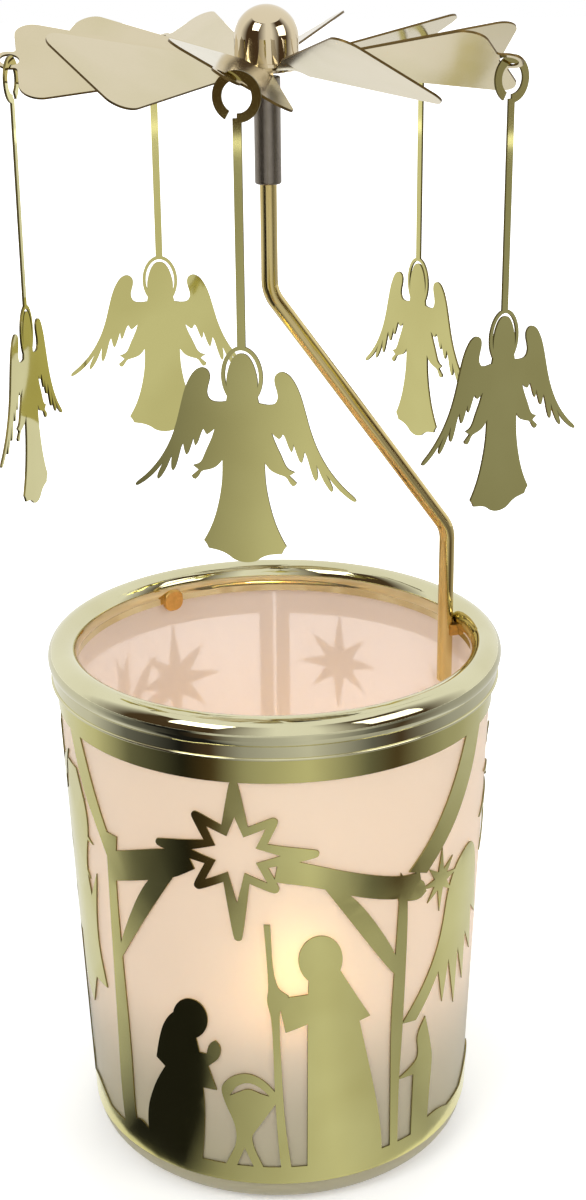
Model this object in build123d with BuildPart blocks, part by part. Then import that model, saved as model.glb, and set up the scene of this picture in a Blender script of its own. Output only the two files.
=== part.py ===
from build123d import *
from math import cos, radians, sin, sqrt, tan
import os

# Angel chime carousel: a candle glass in an etched metal wrap, with a bent rod that
# carries a heat-driven propeller and five hanging angels.
# Millimetres. The origin is the centre of the glass's foot, +Z up, the front is -Y.
# Azimuths are in degrees: 0 is the front, and they grow towards +X.

os.makedirs("parts", exist_ok=True)

# Candle glass
glass_height = 78.6
glass_top_radius = 31.9
glass_base_radius = 29.0
glass_wall = 2.0
glass_floor = 5.0
glass_foot_round = 3.4
glass_inner_round = 2.4
glass_rim_round = 0.9

# Etched wrap round the glass
wrap_sheet = 0.2
wrap_gap = 0.1
wrap_bottom = 4.0
wrap_tuck = 2.8
top_band_height = 6.4
bottom_band_height = 3.0
seam_gap = 0.5
seam_strip_width = 5.0

# Rim collar
collar_sheet = 0.4
bead_radius = 2.2
skirt_depth = 5.0
inner_wall_depth = 3.9
skirt_clearance = 0.06
inner_wall_clearance = 0.18
rim_seat_gap = 0.25
lug_azimuth = -146.0
lug_width = 3.3
lug_height = 3.4
lug_drop = 1.2
lug_depth = 0.9
lug_corner = 1.4
lug_round = 0.3
seat_clearance = 0.02

# Bent rod with its foot brazed inside the collar
rod_azimuth = 109.5
rod_radius = 1.15
rod_bead_gap = 0.05
rod_bend_radius = 5.0
rod_foot_depth = 11.6
rod_lower_length = 24.6
rod_slant_rise = 37.4
rod_upper_length = 27.4
braze_width = 2.6
braze_height = 1.7
sleeve_radius = 1.8
sleeve_length = 14.0
sleeve_over_rod = 1.2
sleeve_slip = 0.05
sleeve_round = 0.3
needle_radius = 0.5
needle_socket_depth = 6.0
needle_socket_clearance = 0.01
needle_taper_length = 2.4
needle_tip_radius = 0.08

# Propeller
propeller_sheet = 0.3
hub_over_rod = 2.35
hub_radius = 5.0
blade_count = 10
blade_phase = -8.0
blade_tip_radius = 32.5
blade_root_radius = 8.0
blade_half_angle = 15.6
blade_twist = 29.0
blade_rise = 2.6
blade_corner = 2.6
eyelet_reach = 0.9
eyelet_radius = 1.85
eyelet_hole_radius = 1.25
eyelet_blend = 0.5

# Cap, bearing and washer on the hub
dome_radius = 4.25
dome_sheet = 0.4
dome_side_height = 3.05
flange_radius = 4.9
neck_radius = 2.5
neck_wall = 0.4
neck_fit = 0.04
washer_radius = 3.7
washer_thickness = 0.4
neck_overhang = 0.2
bearing_radius = 1.4
bearing_height = 2.6
bearing_recess_radius = 0.9
bearing_recess_depth = 1.1
bearing_seat_gap = 0.05
pivot_clearance = 0.05

# Angel charms
charm_sheet = 0.3
ring_radius = 2.95
ring_width = 1.1
ring_gap_start = 240.0
ring_rest_gap = 0.09
stem_width = 1.05
stem_length = 26.6
angel_half_span = 14.3
angel_height = 27.5
halo_radius_x = 2.65
halo_radius_z = 3.7
halo_width = 0.5
charm_turns = (-9.0, -26.0, -16.0, -28.0, -20.0)

# Tealight
tealight_radius = 19.0
tealight_height = 15.5
tealight_wall = 0.25
tealight_rest_gap = 0.05
tealight_corner = 1.2
wax_clearance = 0.05
wax_height = 12.0
wax_pool_depth = 0.6
wax_pool_radius = 9.0
wick_radius = 0.7
wick_above_wax = 6.5
wick_clearance = 0.02
sustainer_radius = 6.0
sustainer_sheet = 0.3
sustainer_neck_radius = 1.4
sustainer_neck_height = 3.5

# Corners of an etched outline that turn by more degrees than this stay sharp
sharp_corner_turn = 58.0

# One overrun serves all cuts
overrun = 1.0


def outward(azimuth):
    """Horizontal unit vector away from the axis at this azimuth."""
    return Vector(sin(radians(azimuth)), -cos(radians(azimuth)), 0)


def sideways(azimuth):
    """Horizontal unit vector to the right, seen from outside at this azimuth."""
    return Vector(cos(radians(azimuth)), sin(radians(azimuth)), 0)


def facing_plane(azimuth, distance, height):
    """Upright plane square to the outward direction, x to the right, y up."""
    origin = outward(azimuth) * distance + Vector(0, 0, height)
    return Plane(origin=origin, x_dir=sideways(azimuth), z_dir=outward(azimuth))


def glass_radius(height):
    """Outer radius of the tapered glass at this height."""
    taper = (glass_top_radius - glass_base_radius) / glass_height
    return glass_base_radius + taper * height


def scaled(points_share, width, height):
    """Outline points in millimetres from shares of a figure's width and height."""
    return [(x * width, y * height) for x, y in points_share]


def mirrored(points_share):
    """The same shares on the other side of the figure's centre line, in reverse."""
    return [(-x, y) for x, y in reversed(points_share)]


def draw_outline(points):
    """Closed line along the points: rounded where it turns gently, sharp at its corners."""
    for index, here in enumerate(points):
        before = Vector(*points[index - 1])
        here = Vector(*here)
        after = Vector(*points[(index + 1) % len(points)])
        start = (before + here) / 2
        end = (here + after) / 2
        if (here - before).get_angle(after - here) > sharp_corner_turn:
            Polyline(start, here, end)
        else:
            Bezier(start, here, end)


# Glass tumbler: tapered wall on a thick flat foot with a rounded edge
glass_inner_floor_radius = glass_radius(glass_floor) - glass_wall
with BuildPart() as glass_tumbler:
    with BuildSketch(Plane.XZ) as glass_section:
        with BuildLine():
            Polyline(
                (0, 0),
                (glass_base_radius, 0),
                (glass_top_radius, glass_height),
                (glass_top_radius - glass_wall, glass_height),
                (glass_inner_floor_radius, glass_floor),
                (0, glass_floor),
                close=True,
            )
        make_face()
        foot_corner = glass_section.vertices().group_by(Axis.Y)[0].sort_by(Axis.X)[-1]
        fillet(foot_corner, radius=glass_foot_round)
        floor_corner = glass_section.vertices().sort_by_distance((glass_inner_floor_radius, glass_floor))[0]
        fillet(floor_corner, radius=glass_inner_round)
        rim_corners = glass_section.vertices().group_by(Axis.Y)[-1]
        fillet(rim_corners, radius=glass_rim_round)
    revolve(axis=Axis.Z)
glass_tumbler.part.label = "glass_tumbler"
export_step(glass_tumbler.part, "parts/glass_tumbler.step")


# Etched wrap: bands, stable, star and figures in one thin sheet round the glass.
# Foot, width and height are shares of the wrap's height, azimuths are in degrees, and
# an outline's points are shares of the figure's own width and height.
kneeling_robe_shares = {
    "azimuth": -30.0,
    "foot": 0.015,
    "width": 0.19,
    "height": 0.415,
    "outline": [
        (-0.41, 0.0),
        (-0.45, 0.22),
        (-0.30, 0.42),
        (-0.14, 0.55),
        (-0.25, 0.585),
        (-0.20, 0.70),
        (-0.12, 0.81),
        (0.0, 0.885),
        (0.12, 0.91),
        (0.25, 0.80),
        (0.29, 0.69),
        (0.37, 0.69),
        (0.40, 0.75),
        (0.47, 0.775),
        (0.53, 0.745),
        (0.51, 0.68),
        (0.44, 0.645),
        (0.38, 0.62),
        (0.46, 0.49),
        (0.31, 0.49),
        (0.32, 0.34),
        (0.26, 0.06),
        (0.23, 0.0),
    ],
}
standing_robe_shares = {
    "azimuth": 20.0,
    "foot": 0.015,
    "width": 0.18,
    "height": 0.565,
    "outline": [
        (-0.50, 0.0),
        (-0.51, 0.65),
        (-0.74, 0.62),
        (-0.80, 0.73),
        (-0.85, 0.76),
        (-0.51, 0.77),
        (-0.50, 0.86),
        (-0.40, 0.945),
        (-0.265, 0.915),
        (-0.11, 0.82),
        (0.05, 0.725),
        (0.20, 0.64),
        (0.07, 0.63),
        (0.33, 0.24),
        (0.40, 0.06),
        (0.37, 0.0),
    ],
}
staff_shares = {
    "azimuth": -1.0,
    "foot": 0.015,
    "width": 0.042,
    "height": 0.595,
    "outline": [
        (-0.50, 1.0),
        (-0.20, 1.0),
        (-0.08, 0.77),
        (0.60, 0.73),
        (0.12, 0.70),
        (0.22, 0.43),
        (0.35, 0.21),
        (0.70, 0.0),
        (0.30, 0.0),
        (0.10, 0.04),
        (-0.12, 0.32),
        (-0.17, 0.64),
        (-0.45, 0.71),
        (-0.30, 0.76),
    ],
}
manger_shares = {
    "azimuth": -9.0,
    "foot": 0.015,
    "width": 0.125,
    "height": 0.253,
    "outline": [
        (-0.47, 0.80),
        (-0.36, 0.91),
        (-0.18, 0.98),
        (0.02, 1.0),
        (0.20, 0.96),
        (0.33, 0.90),
        (0.50, 0.78),
        (0.45, 0.73),
        (0.14, 0.48),
        (0.0, 0.37),
        (0.30, 0.0),
        (0.14, 0.0),
        (-0.08, 0.28),
        (-0.23, 0.08),
        (-0.42, 0.08),
        (-0.13, 0.40),
    ],
}
manger_slot_share = [
    (-0.30, 0.77),
    (-0.19, 0.87),
    (0.01, 0.92),
    (0.21, 0.87),
    (0.34, 0.79),
    (0.20, 0.81),
    (0.01, 0.86),
    (-0.17, 0.81),
]
left_post_shares = {
    "azimuth": -49.0,
    "foot": 0.015,
    "width": 0.042,
    "height": 0.72,
    "outline": [
        (-0.60, 0.0),
        (-0.75, 0.15),
        (-0.55, 0.40),
        (-0.43, 0.65),
        (-0.20, 1.0),
        (0.60, 1.0),
        (0.25, 0.86),
        (0.30, 0.60),
        (0.40, 0.33),
        (0.27, 0.10),
        (0.50, 0.0),
    ],
}
right_post_shares = {
    "azimuth": 34.0,
    "foot": 0.015,
    "width": 0.028,
    "height": 0.665,
    "outline": [
        (-0.30, 0.0),
        (-0.45, 0.25),
        (-0.65, 0.48),
        (-0.50, 0.67),
        (-0.25, 1.0),
        (0.55, 0.94),
        (0.45, 0.45),
        (0.25, 0.27),
        (0.40, 0.0),
    ],
}
left_beam_shares = {
    "azimuth": -30.0,
    "foot": 0.627,
    "width": 0.276,
    "height": 0.122,
    "outline": [
        (-0.53, 0.0),
        (-0.51, 0.56),
        (-0.25, 0.80),
        (0.0, 1.0),
        (0.18, 1.05),
        (0.24, 0.75),
        (0.07, 0.50),
        (-0.12, 0.36),
    ],
}
right_beam_shares = {
    "azimuth": 20.0,
    "foot": 0.619,
    "width": 0.276,
    "height": 0.137,
    "outline": [
        (-0.56, 0.62),
        (-0.53, 1.0),
        (-0.30, 0.86),
        (0.04, 0.60),
        (0.37, 0.37),
        (0.52, 0.34),
        (0.55, 0.0),
        (0.37, 0.0),
        (-0.01, 0.26),
        (-0.28, 0.51),
    ],
}
left_brace_shares = {
    "azimuth": -40.0,
    "foot": 0.449,
    "width": 0.138,
    "height": 0.249,
    "outline": [
        (-0.44, 0.0),
        (-0.42, 0.18),
        (0.28, 0.96),
        (0.72, 1.0),
        (0.60, 0.90),
    ],
}
right_brace_shares = {
    "azimuth": 25.0,
    "foot": 0.449,
    "width": 0.152,
    "height": 0.235,
    "outline": [
        (-0.66, 1.0),
        (-0.28, 0.92),
        (0.40, 0.20),
        (0.40, 0.0),
        (0.28, 0.06),
    ],
}
knob_shares = {
    "azimuth": 40.0,
    "foot": 0.602,
    "width": 0.069,
    "height": 0.066,
    "outline": [
        (-0.80, 0.25),
        (-0.80, 1.0),
        (0.10, 0.70),
        (0.24, 0.20),
        (-0.06, 0.0),
    ],
}
left_roof_shares = {
    "azimuth": -53.0,
    "foot": 0.67,
    "width": 0.124,
    "height": 0.249,
    "outline": [
        (-0.80, 1.0),
        (-0.42, 1.0),
        (-0.06, 0.53),
        (0.30, 0.16),
        (0.42, 0.02),
        (0.20, 0.0),
        (-0.08, 0.25),
        (-0.50, 0.55),
    ],
}
right_roof_shares = {
    "azimuth": 50.0,
    "foot": 0.656,
    "width": 0.221,
    "height": 0.263,
    "outline": [
        (-0.48, 0.07),
        (-0.27, 0.0),
        (0.10, 0.28),
        (0.34, 0.57),
        (0.44, 0.76),
        (0.52, 1.0),
        (0.24, 1.0),
        (0.08, 0.66),
        (-0.20, 0.30),
    ],
}
wing_leaf_shares = {
    "azimuth": 50.0,
    "foot": 0.297,
    "width": 0.276,
    "height": 0.359,
    "outline": [
        (0.40, 1.0),
        (0.26, 0.99),
        (0.12, 0.92),
        (0.04, 0.79),
        (0.01, 0.62),
        (-0.05, 0.46),
        (-0.18, 0.28),
        (-0.38, 0.09),
        (-0.25, 0.07),
        (-0.12, 0.19),
        (-0.02, 0.31),
        (0.05, 0.08),
        (0.11, 0.34),
        (0.23, 0.0),
        (0.25, 0.36),
        (0.37, 0.10),
        (0.37, 0.42),
        (0.51, 0.24),
        (0.47, 0.55),
        (0.61, 0.44),
        (0.54, 0.72),
        (0.50, 0.90),
    ],
}
far_leaf_shares = {
    "azimuth": -68.0,
    "foot": 0.276,
    "width": 0.276,
    "height": 0.552,
    "outline": [
        (0.10, 1.0),
        (-0.10, 1.0),
        (-0.18, 0.84),
        (-0.38, 0.74),
        (-0.26, 0.62),
        (-0.42, 0.50),
        (-0.26, 0.42),
        (-0.38, 0.26),
        (-0.18, 0.26),
        (-0.20, 0.08),
        (0.0, 0.0),
        (0.12, 0.14),
        (0.30, 0.14),
        (0.20, 0.34),
        (0.30, 0.62),
        (0.18, 0.50),
        (0.12, 0.62),
        (0.26, 0.82),
    ],
}
sapling_shares = {
    "azimuth": 44.0,
    "foot": 0.015,
    "width": 0.055,
    "height": 0.304,
    "outline": [
        (-0.43, 0.0),
        (-0.45, 0.58),
        (-1.25, 0.60),
        (-0.35, 0.67),
        (-0.22, 0.74),
        (-0.40, 0.88),
        (0.05, 1.0),
        (0.45, 0.75),
        (0.60, 0.62),
        (0.52, 0.39),
        (0.45, 0.0),
    ],
}
shepherd_robe_shares = {
    "azimuth": 141.0,
    "foot": 0.015,
    "width": 0.152,
    "height": 0.456,
    "outline": [
        (-0.48, 0.0),
        (-0.40, 0.30),
        (-0.24, 0.62),
        (-0.26, 0.92),
        (0.16, 0.94),
        (0.26, 0.74),
        (0.62, 0.66),
        (0.62, 0.56),
        (0.28, 0.56),
        (0.40, 0.26),
        (0.50, 0.0),
    ],
}
shepherd_crook_shares = {
    "azimuth": 153.0,
    "foot": 0.015,
    "width": 0.055,
    "height": 0.566,
    "outline": [
        (-0.14, 0.0),
        (-0.14, 0.90),
        (0.05, 1.0),
        (0.55, 1.0),
        (0.80, 0.93),
        (0.80, 0.86),
        (0.55, 0.86),
        (0.50, 0.94),
        (0.20, 0.94),
        (0.14, 0.88),
        (0.14, 0.0),
    ],
}
figure_shares = [
    kneeling_robe_shares,
    standing_robe_shares,
    staff_shares,
    manger_shares,
    left_post_shares,
    right_post_shares,
    left_beam_shares,
    right_beam_shares,
    left_brace_shares,
    right_brace_shares,
    knob_shares,
    left_roof_shares,
    right_roof_shares,
    wing_leaf_shares,
    far_leaf_shares,
    sapling_shares,
    shepherd_robe_shares,
    shepherd_crook_shares,
]

# Hoods: azimuth, middle, half width, half height, and tilt in degrees
hood_shares = [
    (-24.8, 0.376, 0.037, 0.048, -18.0),
    (10.8, 0.525, 0.043, 0.055, 8.0),
    (139.8, 0.478, 0.037, 0.05, 0.0),
]

# Guiding star: azimuth, middle and reach, then its eight rays from the right round to
# the left and the waist between them, and the same for its hollow, as parts of the reach
guiding_star_shares = (-10.4, 0.76, 0.156)
guiding_ray_shares = (0.99, 0.71, 1.0, 0.74, 1.03, 0.74, 1.21, 0.71)
guiding_waist_share = 0.42
guiding_tip_share = 0.062
tip_steps = (-75.0, -25.0, 25.0, 75.0)
hollow_ray_shares = (0.54, 0.52, 0.51, 0.50, 0.56, 0.55, 0.67, 0.53)
hollow_waist_share = 0.265

# Small stars: azimuth, middle and reach
small_star_shares = [
    (48.0, 0.623, 0.072),
    (118.0, 0.787, 0.131),
    (160.0, 0.80, 0.117),
    (212.0, 0.78, 0.138),
    (252.0, 0.80, 0.117),
]
small_ray_shares = (0.8, 0.75, 1.0, 0.75, 0.8, 0.75, 1.0, 0.75)
small_waist_share = 0.3

# Palm trees: crown height, trunk widths at the foot and the crown, frond length and width
palm_azimuths = (98.0, 232.0, 276.0)
palm_crown_share = 0.69
trunk_foot_share = 0.047
trunk_top_share = 0.022
frond_length_share = 0.193
frond_width_share = 0.036
frond_angles = (-28.0, 0.0, 28.0, 60.0, 86.0)
frond_share = [
    (0.0, 0.35),
    (0.35, 0.65),
    (0.7, 0.5),
    (1.0, -0.25),
    (0.72, -0.15),
    (0.6, -0.4),
    (0.48, -0.05),
    (0.36, -0.4),
    (0.24, -0.1),
    (0.0, -0.35),
]

# Sheep: azimuth and middle, then the body, the head and the legs
sheep_shares = [(120.0, 0.131), (205.0, 0.131), (253.0, 0.138)]
sheep_half_width_share = 0.064
sheep_half_height_share = 0.041
sheep_head_share = (1.05, 0.55)
sheep_head_size_share = 0.34
sheep_leg_shares = (-0.7, -0.45, 0.45, 0.7)
sheep_leg_width_share = 0.2

# Hills along the bottom band: azimuth, half width and height
hill_top_shares = [
    (-45.0, 0.062, 0.077),
    (50.0, 0.11, 0.06),
    (82.0, 0.125, 0.083),
    (122.0, 0.13, 0.09),
    (158.0, 0.117, 0.069),
    (204.0, 0.13, 0.09),
    (253.0, 0.13, 0.097),
    (288.0, 0.11, 0.069),
]
hill_share = [(-1.0, 0.0), (-0.6, 0.55), (-0.2, 0.95), (0.15, 1.0), (0.6, 0.6), (1.0, 0.0)]
ground_share = 0.014
seam_azimuth = 180.0

wrap_top = glass_height - skirt_depth + wrap_tuck
wrap_height = wrap_top - wrap_bottom
ground_z = wrap_bottom + ground_share * wrap_height
cut_start_radius = glass_base_radius - skirt_depth
cut_reach = glass_top_radius - cut_start_radius + skirt_depth


def wrap_radius(height):
    """Outer radius of the wrap at this height."""
    return glass_radius(height) + wrap_gap + wrap_sheet


def star_points(middle_z, reach, ray_shares, waist_share, tip_share=0.0):
    """Eight-rayed star as outline points, its tips sharp or rounded to a share of the reach."""
    points = []
    ray_pitch = 360 / len(ray_shares)
    for index, ray_share in enumerate(ray_shares):
        ray_angle = index * ray_pitch
        tip_radius = reach * tip_share
        tip_middle = Vector(reach * ray_share - tip_radius, 0).rotate(Axis.Z, ray_angle)
        for step in tip_steps if tip_share else (0.0,):
            tip = tip_middle + Vector(tip_radius, 0).rotate(Axis.Z, ray_angle + step)
            points.append((tip.X, middle_z + tip.Y))
        waist = Vector(reach * waist_share, 0).rotate(Axis.Z, ray_angle + ray_pitch / 2)
        points.append((waist.X, middle_z + waist.Y))
    return points


def figure_points(figure, outline_share):
    """Points in millimetres, x from the figure's middle and y from the ground."""
    width = figure["width"] * wrap_height
    height = figure["height"] * wrap_height
    foot_z = wrap_bottom + figure["foot"] * wrap_height
    return [(x * width, foot_z + y * height) for x, y in outline_share]


def palm_outlines():
    """Trunk and drooping fronds of a palm tree, as outlines in millimetres."""
    crown_z = wrap_bottom + palm_crown_share * wrap_height
    foot_x = trunk_foot_share * wrap_height / 2
    top_x = trunk_top_share * wrap_height / 2
    outlines = [[(-foot_x, ground_z), (foot_x, ground_z), (top_x, crown_z), (-top_x, crown_z)]]
    for angle in frond_angles:
        for side in (1, -1):
            frond = []
            for x, y in frond_share:
                along = x * frond_length_share * wrap_height
                across = y * frond_width_share * wrap_height
                frond_x = along * cos(radians(angle)) - across * sin(radians(angle))
                frond_z = crown_z + along * sin(radians(angle)) + across * cos(radians(angle))
                frond.append((side * frond_x, frond_z))
            outlines.append(frond)
    return outlines


def radial_block(azimuth, outlines):
    """Radial block with these outlines, seen from outside at this azimuth."""
    with BuildPart() as block:
        with BuildSketch(facing_plane(azimuth, cut_start_radius, 0)):
            for points in outlines:
                with BuildLine():
                    draw_outline(points)
                make_face()
        extrude(amount=cut_reach)
    return block.part


scene_blocks = []
for figure in figure_shares:
    scene_blocks.append(radial_block(figure["azimuth"], [figure_points(figure, figure["outline"])]))
star_azimuth, star_middle_share, star_reach_share = guiding_star_shares
star_z = wrap_bottom + star_middle_share * wrap_height
star_reach = star_reach_share * wrap_height
star_outline = star_points(star_z, star_reach, guiding_ray_shares, guiding_waist_share, guiding_tip_share)
scene_blocks.append(radial_block(star_azimuth, [star_outline]))
for azimuth, middle_share, reach_share in small_star_shares:
    small_star = star_points(
        wrap_bottom + middle_share * wrap_height,
        reach_share * wrap_height,
        small_ray_shares,
        small_waist_share,
    )
    scene_blocks.append(radial_block(azimuth, [small_star]))
for azimuth in palm_azimuths:
    scene_blocks.append(radial_block(azimuth, palm_outlines()))
for azimuth, half_width_share, top_share in hill_top_shares:
    hill_half_width = half_width_share * wrap_height
    hill_rise = wrap_bottom + top_share * wrap_height - ground_z
    hill = [(x * hill_half_width, ground_z + y * hill_rise) for x, y in hill_share]
    scene_blocks.append(radial_block(azimuth, [hill]))
manger_slot = radial_block(manger_shares["azimuth"], [figure_points(manger_shares, manger_slot_share)])
hollow_outline = star_points(star_z, star_reach, hollow_ray_shares, hollow_waist_share)
star_hollow = radial_block(star_azimuth, [hollow_outline])

with BuildPart() as nativity_wrap:
    add(scene_blocks)
    for azimuth, middle_share, half_width_share, half_height_share, tilt in hood_shares:
        hood_z = wrap_bottom + middle_share * wrap_height
        with BuildSketch(facing_plane(azimuth, cut_start_radius, hood_z)):
            Ellipse(half_width_share * wrap_height, half_height_share * wrap_height, rotation=tilt)
        extrude(amount=cut_reach)
    sheep_half_width = sheep_half_width_share * wrap_height
    sheep_half_height = sheep_half_height_share * wrap_height
    for azimuth, middle_share in sheep_shares:
        sheep_z = wrap_bottom + middle_share * wrap_height
        with BuildSketch(facing_plane(azimuth, cut_start_radius, sheep_z)):
            Ellipse(sheep_half_width, sheep_half_height)
            head_x, head_y = sheep_head_share
            with Locations((head_x * sheep_half_width, head_y * sheep_half_height)):
                Ellipse(sheep_head_size_share * sheep_half_width, sheep_head_size_share * sheep_half_height)
            for leg_share in sheep_leg_shares:
                with Locations((leg_share * sheep_half_width, 0)):
                    Rectangle(
                        sheep_leg_width_share * sheep_half_width,
                        sheep_z - wrap_bottom,
                        align=(Align.CENTER, Align.MAX),
                    )
        extrude(amount=cut_reach)
    with BuildSketch(facing_plane(seam_azimuth, cut_start_radius, wrap_bottom)):
        Rectangle(seam_strip_width, wrap_height, align=(Align.CENTER, Align.MIN))
    extrude(amount=cut_reach)
    add([manger_slot, star_hollow], mode=Mode.SUBTRACT)
    with BuildSketch(Plane.XY.offset(wrap_bottom)):
        Circle(cut_start_radius + cut_reach)
        Circle(cut_start_radius, mode=Mode.SUBTRACT)
    extrude(amount=bottom_band_height)
    with BuildSketch(Plane.XY.offset(wrap_top - top_band_height)):
        Circle(cut_start_radius + cut_reach)
        Circle(cut_start_radius, mode=Mode.SUBTRACT)
    extrude(amount=top_band_height)
    with BuildSketch(facing_plane(seam_azimuth, cut_start_radius, 0)):
        Rectangle(seam_gap, 2 * wrap_top)
    extrude(amount=cut_reach, mode=Mode.SUBTRACT)
    with BuildSketch(Plane.XZ):
        with BuildLine():
            Polyline(
                (wrap_radius(wrap_bottom) - wrap_sheet, wrap_bottom),
                (wrap_radius(wrap_bottom), wrap_bottom),
                (wrap_radius(wrap_top), wrap_top),
                (wrap_radius(wrap_top) - wrap_sheet, wrap_top),
                close=True,
            )
        make_face()
    revolve(axis=Axis.Z, mode=Mode.INTERSECT)
nativity_wrap.part.label = "nativity_wrap"
export_step(nativity_wrap.part, "parts/nativity_wrap.step")


# Rim collar: hollow bead over the glass's rim, outer skirt over the wrap, inner wall
bead_ring_radius = glass_top_radius - glass_wall / 2
bead_z = glass_height + rim_seat_gap - (bead_radius - collar_sheet)
skirt_bottom = glass_height - skirt_depth
inner_wall_bottom = glass_height - inner_wall_depth
skirt_inner_radius = glass_radius(wrap_top) + wrap_gap + wrap_sheet + skirt_clearance
wall_outer_radius = glass_radius(inner_wall_bottom) - glass_wall - inner_wall_clearance
wall_inner_radius = wall_outer_radius - collar_sheet
with BuildPart() as rim_collar:
    with BuildSketch(Plane.XZ):
        with Locations((bead_ring_radius, bead_z)):
            Circle(bead_radius)
        with Locations((skirt_inner_radius, skirt_bottom)):
            Rectangle(collar_sheet, bead_z - skirt_bottom, align=(Align.MIN, Align.MIN))
        with Locations((wall_inner_radius, inner_wall_bottom)):
            Rectangle(collar_sheet, bead_z - inner_wall_bottom, align=(Align.MIN, Align.MIN))
        with Locations((bead_ring_radius, bead_z)):
            Circle(bead_radius - collar_sheet, mode=Mode.SUBTRACT)
        with Locations((wall_outer_radius, bead_z)):
            Rectangle(
                skirt_inner_radius - wall_outer_radius,
                bead_radius + overrun,
                align=(Align.MIN, Align.MAX),
                mode=Mode.SUBTRACT,
            )
    revolve(axis=Axis.Z)
rim_collar.part.label = "rim_collar"
export_step(rim_collar.part, "parts/rim_collar.step")


# Lug on the collar's inner wall, reaching from under the bead to below the wall's edge
with BuildPart() as collar_lug:
    lug_middle_z = inner_wall_bottom - lug_drop + lug_height / 2
    with BuildSketch(facing_plane(lug_azimuth, wall_inner_radius - lug_depth, lug_middle_z)):
        RectangleRounded(lug_width, lug_height, radius=lug_corner)
    extrude(amount=lug_depth + overrun)
    lug_front = collar_lug.faces().filter_by(GeomType.PLANE).sort_by_distance((0, 0, lug_middle_z))[0]
    fillet(lug_front.edges(), radius=lug_round)
    with Locations((0, 0, lug_middle_z)):
        Cylinder(wall_inner_radius - seat_clearance, lug_height + overrun, mode=Mode.INTERSECT)
    with Locations((0, 0, bead_z)):
        Torus(bead_ring_radius, bead_radius + seat_clearance, mode=Mode.SUBTRACT)
collar_lug.part.label = "collar_lug"
export_step(collar_lug.part, "parts/collar_lug.step")


# Support rod: foot inside the collar, up past the rim, slanted to the axis, then upright
rod_reach = bead_ring_radius - bead_radius - rod_bead_gap - rod_radius
rod_foot_z = glass_height - rod_foot_depth
rod_lower_bend_z = rod_foot_z + rod_lower_length
rod_upper_bend_z = rod_lower_bend_z + rod_slant_rise
rod_top_z = rod_upper_bend_z + rod_upper_length
rod_plane = Plane(origin=(0, 0, 0), x_dir=outward(rod_azimuth), z_dir=-sideways(rod_azimuth))
with BuildPart() as support_rod:
    with BuildLine(rod_plane) as rod_path:
        FilletPolyline(
            (rod_reach, rod_foot_z),
            (rod_reach, rod_lower_bend_z),
            (0, rod_upper_bend_z),
            (0, rod_top_z),
            radius=rod_bend_radius,
        )
    foot_plane = Plane(origin=outward(rod_azimuth) * rod_reach + Vector(0, 0, rod_foot_z), z_dir=(0, 0, 1))
    with BuildSketch(foot_plane):
        Circle(rod_radius)
    sweep(path=rod_path.wire())
    chamfer(support_rod.edges().group_by(Axis.Z)[0], length=rod_radius / 5)
    with Locations((0, 0, rod_top_z)):
        Cylinder(
            needle_radius + needle_socket_clearance,
            needle_socket_depth,
            align=(Align.CENTER, Align.CENTER, Align.MAX),
            mode=Mode.SUBTRACT,
        )
support_rod.part.label = "support_rod"
export_step(support_rod.part, "parts/support_rod.step")


# Braze that joins the rod's foot to the collar's inner wall, just under the bead
with BuildPart() as rod_braze:
    braze_middle_z = inner_wall_bottom + braze_height / 2
    with BuildSketch(facing_plane(rod_azimuth, rod_reach + rod_radius / 4, braze_middle_z)):
        Rectangle(braze_width, braze_height)
    extrude(amount=2 * rod_radius)
    with Locations((0, 0, braze_middle_z)):
        Cylinder(wall_inner_radius - seat_clearance, braze_height + overrun, mode=Mode.INTERSECT)
    with Locations((0, 0, bead_z)):
        Torus(bead_ring_radius, bead_radius + seat_clearance, mode=Mode.SUBTRACT)
    with Locations(outward(rod_azimuth) * rod_reach + Vector(0, 0, braze_middle_z)):
        Cylinder(rod_radius + seat_clearance, braze_height + overrun, mode=Mode.SUBTRACT)
rod_braze.part.label = "rod_braze"
export_step(rod_braze.part, "parts/rod_braze.step")


# Smoky sleeve slipped over the rod's upper end
sleeve_top = rod_top_z + sleeve_over_rod
with BuildPart() as rod_sleeve:
    with Locations((0, 0, sleeve_top)):
        Cylinder(sleeve_radius, sleeve_length, align=(Align.CENTER, Align.CENTER, Align.MAX))
    fillet(rod_sleeve.edges().filter_by(GeomType.CIRCLE), radius=sleeve_round)
    with Locations((0, 0, sleeve_top + overrun)):
        Cylinder(
            rod_radius + sleeve_slip,
            sleeve_length + 2 * overrun,
            align=(Align.CENTER, Align.CENTER, Align.MAX),
            mode=Mode.SUBTRACT,
        )
rod_sleeve.part.label = "rod_sleeve"
export_step(rod_sleeve.part, "parts/rod_sleeve.step")


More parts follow.
